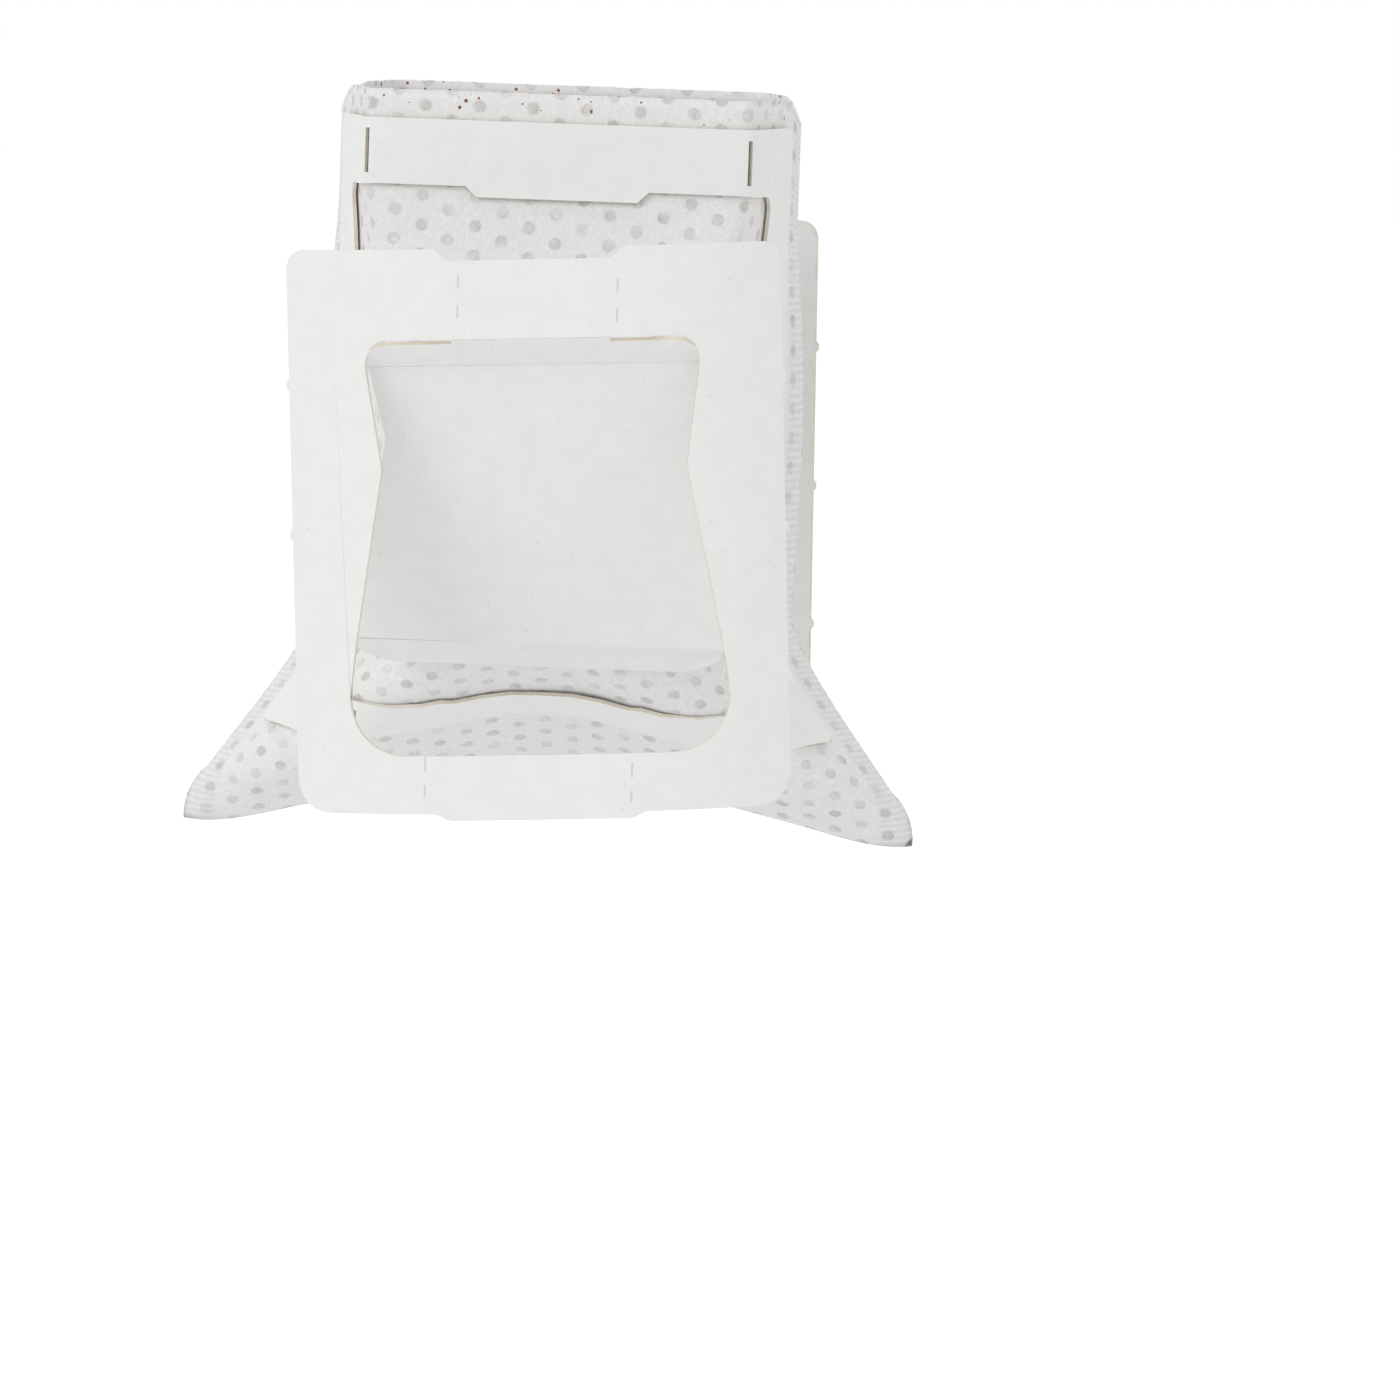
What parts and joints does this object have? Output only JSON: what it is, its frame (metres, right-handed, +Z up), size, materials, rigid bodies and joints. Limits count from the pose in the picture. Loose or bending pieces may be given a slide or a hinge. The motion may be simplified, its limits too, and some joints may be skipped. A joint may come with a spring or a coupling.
{
  "type": "drip coffee bag",
  "caption": "Hanging drip coffee bag, opened and hooked over a cup: welded filter bag with ground coffee, and on each side a torn card frame and a folded card hook.",
  "frame": {"origin": "centre of the cup's rim, level with the top of the rim", "axes": "+Z up out of the bag's mouth, +Y from the front hook to the rear hook, +X to the right seen from the front"},
  "size_m": [0.0739, 0.09, 0.0773],
  "materials": {
    "nonwoven_fabric": "matte, embossed with small bond dots",
    "coffee": "coarse ground, dull",
    "card": "uncoated white paperboard"
  },
  "bodies": {
    "root": {"filter_bag": "nonwoven_fabric", "ground_coffee": "coffee", "front_card_frame": "card", "front_hook": "card", "rear_card_frame": "card", "rear_hook": "card"}
  },
  "joints": []
}
